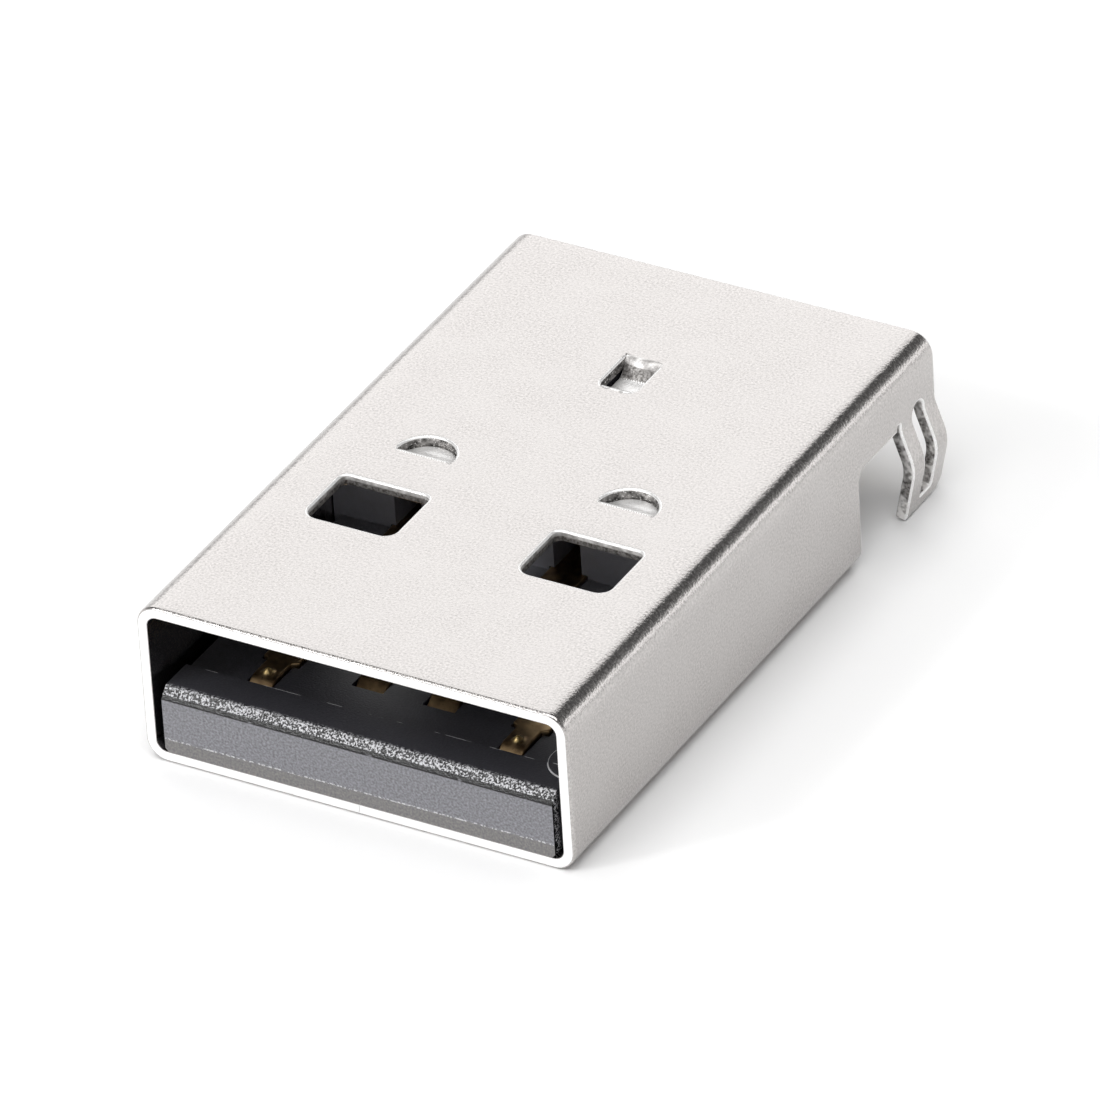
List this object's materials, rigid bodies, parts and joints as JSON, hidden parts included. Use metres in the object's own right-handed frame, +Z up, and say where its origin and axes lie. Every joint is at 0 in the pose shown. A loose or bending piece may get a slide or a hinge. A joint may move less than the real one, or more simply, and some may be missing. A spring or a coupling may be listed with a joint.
{
  "type": "usb type a plug for a circuit board",
  "caption": "Sunk right-angle USB type A plug: a folded steel sleeve with latch windows and sprung board-lock legs round a moulded tongue that carries stamped contacts with solder tails.",
  "frame": {"origin": "middle of the length and width, on the underside of the folded sleeve", "axes": "+Z up through the latch windows, -Y out of the mouth, +Y towards the solder tails and board-lock legs, +X across, towards the power contact"},
  "size_m": [0.0126, 0.0188, 0.0045],
  "materials": {
    "shell": "satin nickel plate with bright cut edges",
    "insulator": "moulded black PBT, fine spark texture",
    "contacts": "copper alloy, flash gold"
  },
  "bodies": {
    "root": {"shell": "shell", "insulator": "insulator", "contact_power": "contacts", "contact_data_minus": "contacts", "contact_data_plus": "contacts", "contact_ground": "contacts"}
  },
  "joints": []
}
